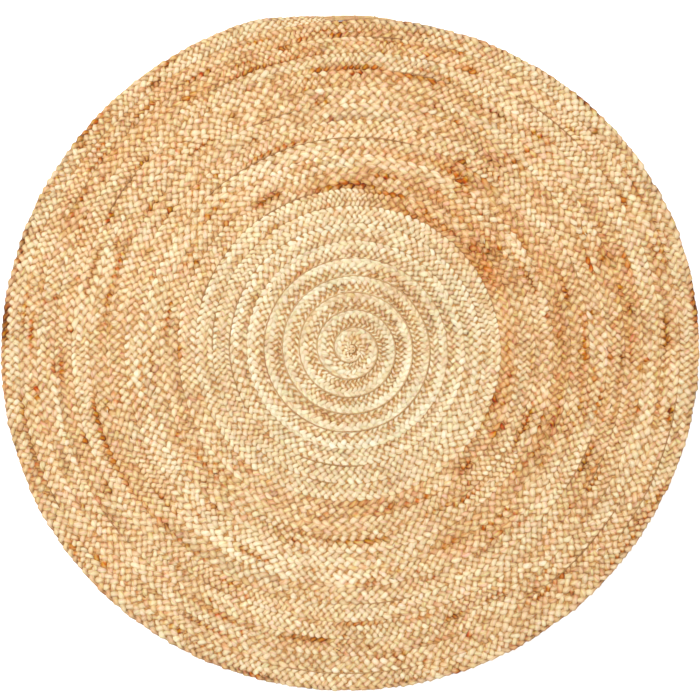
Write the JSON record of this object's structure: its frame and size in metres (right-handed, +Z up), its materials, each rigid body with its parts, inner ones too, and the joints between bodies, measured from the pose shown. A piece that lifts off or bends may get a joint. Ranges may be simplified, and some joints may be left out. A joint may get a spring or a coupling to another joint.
{
  "type": "area rug",
  "caption": "Round flat rug of braided natural jute: one long flat braid wound into a spiral, pale at the centre and golden outside, laced edge to edge.",
  "frame": {"origin": "middle of the rug's outline, on the floor under it", "axes": "+Z up out of the face, +Y to the side where the braid's tail ends, +X along the slightly longer diameter"},
  "size_m": [1.2194, 1.1818, 0.011],
  "materials": {
    "pale_jute": "matt plaited jute strands, cream",
    "golden_jute": "matt plaited jute strands, golden brown",
    "lacing_cord": "matt twisted jute cord, brown"
  },
  "bodies": {
    "root": {"pale_braid": "pale_jute", "golden_braid": "golden_jute", "pale_lacing": "lacing_cord", "golden_lacing": "lacing_cord", "centre_binding": "lacing_cord", "tail_strand_1": "golden_jute", "tail_strand_2": "golden_jute", "tail_strand_3": "golden_jute", "tail_binding": "lacing_cord", "tail_stitch_1": "lacing_cord", "tail_stitch_2": "lacing_cord"}
  },
  "joints": []
}
